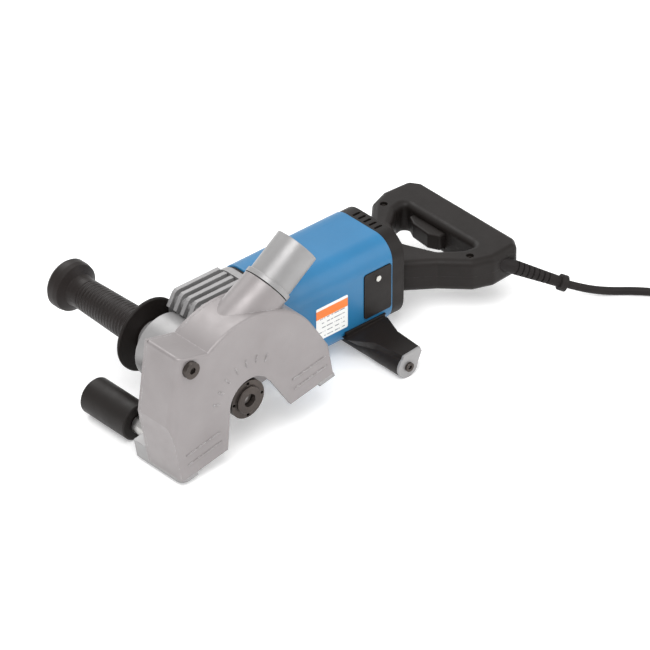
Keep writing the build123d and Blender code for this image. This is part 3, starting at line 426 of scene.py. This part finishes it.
BRIGHT_SCREW = Finish("plated_screw_steel", (0.62, 0.61, 0.58, 1), (0.5, 0.49, 0.46, 1),
                      (0.18, 0.32), metallic=1.0, grain_scale=1500, grain_depth=0.01, edge_mm=0.3)
CORE = Finish("laminated_core_steel", (0.16, 0.15, 0.14, 1), (0.22, 0.2, 0.18, 1), (0.4, 0.6),
              metallic=0.7, grain=Grain.TURNED_ALONG_Y, grain_scale=900, grain_depth=0.08)
COPPER = Finish("enamelled_copper", (0.50, 0.17, 0.06, 1), (0.38, 0.12, 0.04, 1), (0.25, 0.4),
                metallic=0.8, grain_scale=700, grain_depth=0.12)
CARBON = Finish("pressed_carbon", (0.03, 0.03, 0.032, 1), (0.045, 0.045, 0.047, 1), (0.5, 0.7),
                grain_scale=1400, grain_depth=0.05)
BRASS = Finish("plain_brass", (0.62, 0.42, 0.16, 1), (0.52, 0.34, 0.12, 1), (0.24, 0.38),
               metallic=1.0, grain_scale=1500, grain_depth=0.015, edge_mm=0.3)

DRESSED: dict[Finish, tuple[str, ...]] = {
    SILVER: ("gear_housing", "bearing_box", "dust_nozzle", "base_shoe", "foot_plate",
             "front_bearing_plate"),
    COVER_SILVER: ("blade_cover", "cover_back"),
    BLUE: ("motor_housing",),
    BLACK: ("air_baffle", "side_panels", "rear_cover", "rear_foot", "guard_disc", "handle_top",
            "handle_bottom", "front_roller", "trigger", "lock_button", "switch_body",
            "cooling_fan"),
    GRIP: ("side_grip",),
    RUBBER: ("cord_sleeve", "plug_body"),
    STEEL: ("clamp_band", "spacer_rings", "spindle", "grip_stud", "roller_axle",
            "spindle_outer_bearing", "spindle_inner_bearing"),
    SHAFT_STEEL: ("armature_shaft", "front_motor_bearing", "rear_motor_bearing"),
    DARK_STEEL: ("lock_nut", "inner_flange", "cover_bolt", "bevel_gear", "bevel_pinion",
                 "shaft_lock_button", "foot_screw", "handle_screws"),
    BRIGHT_SCREW: ("panel_screws", "bearing_box_screws"),
    CORE: ("field_core", "armature_core"),
    COPPER: ("field_coils", "armature_windings", "commutator"),
    CARBON: ("carbon_brushes",),
    BRASS: ("brush_holders", "plug_pins"),
}


def paint(piece: bpy.types.Object, material: bpy.types.Material) -> None:
    """Give every material slot of a piece the same material."""
    if not piece.material_slots:
        piece.data.materials.append(material)
    for material_slot in piece.material_slots:
        material_slot.material = material


@dataclass
class Studio:
    """Camera, lights and floor."""

    lens_mm: float = 400.0
    azimuth: float = -42.0
    elevation: float = 34.0
    view_width: float = 0.650
    target: Point = (0.1923, 0.0, -0.0507)
    floor_size: float = 12.0

    def camera(self) -> None:
        """Place the camera at the viewing angle."""
        turn, rise = math.radians(self.azimuth), math.radians(self.elevation)
        back = Vector((math.sin(turn) * math.cos(rise), -math.cos(turn) * math.cos(rise),
                       math.sin(rise)))
        data = bpy.data.cameras.new("camera")
        data.lens = self.lens_mm
        data.sensor_width = 36.0
        data.clip_end = 50.0
        camera = bpy.data.objects.new("camera", data)
        distance = self.view_width * self.lens_mm / data.sensor_width
        camera.location = Vector(self.target) + back * distance
        camera.rotation_euler = (-back).to_track_quat("-Z", "Y").to_euler()
        bpy.context.scene.collection.objects.link(camera)
        bpy.context.scene.camera = camera

    def floor(self, height: float) -> None:
        """Lay a pale floor under the machine.

        Args:
            height: the floor's Z in metres.
        """
        half = self.floor_size / 2
        mesh = bpy.data.meshes.new("floor")
        mesh.from_pydata([(-half, -half, height), (half, -half, height), (half, half, height),
                          (-half, half, height)], [], [(0, 1, 2, 3)])
        floor = bpy.data.objects.new("floor", mesh)
        bpy.context.scene.collection.objects.link(floor)
        bench = NodeBench("pale_floor")
        bench.shader.inputs["Base Color"].default_value = (0.86, 0.86, 0.86, 1)
        bench.shader.inputs["Roughness"].default_value = 0.75
        bench.shader.inputs["Emission Color"].default_value = (1.0, 1.0, 1.0, 1)
        bench.shader.inputs["Emission Strength"].default_value = 0.3
        floor.data.materials.append(bench.material)

    def area(self, name: str, place: Point, size: float, power: float) -> None:
        """Hang one soft area light that faces the machine.

        Args:
            name: the light's name.
            place: its position in metres.
            size: the side of the square light in metres.
            power: its power in watts.
        """
        data = bpy.data.lights.new(name, "AREA")
        data.size = size
        data.energy = power
        light = bpy.data.objects.new(name, data)
        light.location = place
        aim = Vector(self.target) - Vector(place)
        light.rotation_euler = aim.to_track_quat("-Z", "Y").to_euler()
        bpy.context.scene.collection.objects.link(light)

    def build(self, floor_z: float) -> None:
        """Set up the whole studio.

        Args:
            floor_z: the floor's height in metres.
        """
        self.camera()
        self.floor(floor_z)
        self.area("key_light", (-0.9, -0.9, 2.2), 1.6, 42.0)
        self.area("fill_light", (1.4, -1.6, 1.2), 1.8, 14.0)
        self.area("rear_light", (0.6, 1.7, 1.6), 1.4, 22.0)
        world = bpy.data.worlds.new("studio_world")
        world.use_nodes = True
        backdrop = world.node_tree.nodes["Background"]
        backdrop.inputs["Color"].default_value = (1.0, 1.0, 1.0, 1.0)
        backdrop.inputs["Strength"].default_value = 0.75
        bpy.context.scene.world = world
        bpy.context.scene.view_settings.view_transform = "Standard"


@dataclass
class MainsLead:
    """The rubber mains lead: a free stretch, then a tied coil that ends in the plug."""

    diameter: float = 8.4 * MM
    length: float = 2.47
    exit: Point = (0.4162, -0.1135, -0.0445)
    route: tuple[Point, ...] = (
        (0.432, -0.1236, -0.0526), (0.452, -0.1375, -0.0578), (0.475, -0.157, -0.0578),
        (0.496, -0.183, -0.0578), (0.512, -0.213, -0.0578), (0.5225, -0.245, -0.0578),
        (0.5264, -0.272, -0.0578))
    coil_centre: tuple[float, float] = (0.470, -0.290)
    radii: tuple[float, float, float] = (0.0561, 0.0478, 0.0395)
    layers: tuple[float, float, float] = (-0.0578, -0.0494, -0.0410)
    winding: tuple[tuple[int, int], ...] = ((0, 0), (1, 0), (2, 0), (2, 1), (1, 1), (0, 1),
                                            (0, 2), (1, 2))
    last_turn: float = 0.25
    steps: int = 16
    first_angle: float = -12.0
    plug_end: Point = (0.4372, -0.338, -0.0448)

    def coil_points(self) -> list[Point]:
        """The control points of the coil's turns, column by column and layer by layer."""
        points = []
        ease = 1 / (0.5 + 0.5 * math.cos(math.pi / self.steps))
        total = len(self.winding) - 1 + self.last_turn
        count = int(total * self.steps)
        for index in range(count):
            turn = index / self.steps
            here = self.winding[int(turn)]
            after = self.winding[min(int(turn) + 1, len(self.winding) - 1)]
            share = max(0.0, (turn % 1.0 - 0.75) / 0.25)
            radius = self.radii[here[0]] * (1 - share) + self.radii[after[0]] * share
            height = self.layers[here[1]] * (1 - share) + self.layers[after[1]] * share
            angle = math.radians(self.first_angle) - FULL_TURN * turn
            points.append((self.coil_centre[0] + radius * ease * math.cos(angle),
                           self.coil_centre[1] + radius * ease * math.sin(angle), height))
        return points

    def build(self, materials: dict[str, bpy.types.Material]) -> bpy.types.Object:
        """Args:
            materials: the made materials by name.

        Returns:
            The lead.
        """
        points = [self.exit, *self.route, *self.coil_points(), self.plug_end]
        data = bpy.data.curves.new("mains_lead", "CURVE")
        data.dimensions = "3D"
        data.bevel_depth = self.diameter / 2
        data.bevel_resolution = 5
        data.use_fill_caps = True
        spline = data.splines.new("NURBS")
        spline.points.add(len(points) - 1)
        for spot, place in zip(spline.points, points):
            spot.co = (*place, 1.0)
        spline.order_u = 3
        spline.use_endpoint_u = True
        spline.resolution_u = 6
        lead = bpy.data.objects.new("mains_lead", data)
        bpy.context.scene.collection.objects.link(lead)
        paint(lead, materials[RUBBER.name])
        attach(lead, Body.MACHINE.value)
        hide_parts("cord_tube", "cord_coil")
        return lead


@dataclass
class CoilTie:
    """A hook-and-loop strap round one side of the coiled lead."""

    centre: Point = (0.470, -0.290, -0.0489)
    coil_radius: float = 0.0478
    half_span: float = 0.0130
    half_height: float = 0.0124
    corner: float = 0.006
    half_width: float = 0.007
    thickness: float = 0.0007
    angle: float = 128.0
    steps: int = 6

    def outline(self) -> list[tuple[float, float]]:
        """The strap's rounded path in its own plane."""
        points = []
        for turn in range(4):
            start = turn * math.pi / 2
            corner_x = (self.half_span - self.corner) * (1 if turn in (0, 3) else -1)
            corner_y = (self.half_height - self.corner) * (1 if turn in (0, 1) else -1)
            for index in range(self.steps + 1):
                angle = start + index / self.steps * math.pi / 2
                points.append((corner_x + self.corner * math.cos(angle),
                               corner_y + self.corner * math.sin(angle)))
        return points

    def build(self, materials: dict[str, bpy.types.Material]) -> bpy.types.Object:
        """Make the strap and let it ride with the machine.

        Args:
            materials: the made materials by name.

        Returns:
            The strap.
        """
        data = bpy.data.curves.new("coil_tie", "CURVE")
        data.dimensions = "2D"
        data.fill_mode = "NONE"
        data.extrude = self.half_width
        data.bevel_depth = self.thickness
        data.bevel_resolution = 2
        points = self.outline()
        spline = data.splines.new("POLY")
        spline.points.add(len(points) - 1)
        for spot, (across, up) in zip(spline.points, points):
            spot.co = (across, up, 0.0, 1.0)
        spline.use_cyclic_u = True
        tie = bpy.data.objects.new("coil_tie", data)
        angle = math.radians(self.angle)
        tie.location = (self.centre[0] + self.coil_radius * math.cos(angle),
                        self.centre[1] + self.coil_radius * math.sin(angle), self.centre[2])
        tie.rotation_euler = Euler((math.pi / 2, 0.0, angle))
        bpy.context.scene.collection.objects.link(tie)
        paint(tie, materials[RUBBER.name])
        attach(tie, Body.MACHINE.value)
        return tie


def main() -> None:
    """Build the studio, the lead and every finish."""
    logging.basicConfig(level=logging.INFO, format="%(message)s")
    studio = Studio()
    studio.build(CAD_BOX[0][2])
    materials = {finish.name: finish.make() for finish in DRESSED}
    lead = MainsLead().build(materials)
    tie = CoilTie().build(materials)
    LOG.info("made %s and %s", lead.name, tie.name)
    for finish, nodes in DRESSED.items():
        for node in nodes:
            paint(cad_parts[node], materials[finish.name])
            LOG.info("dressed %s in %s", node, finish.name)
    paint(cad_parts["rating_plate"], PrintedFilm().make())


if __name__ == "__main__":
    main()
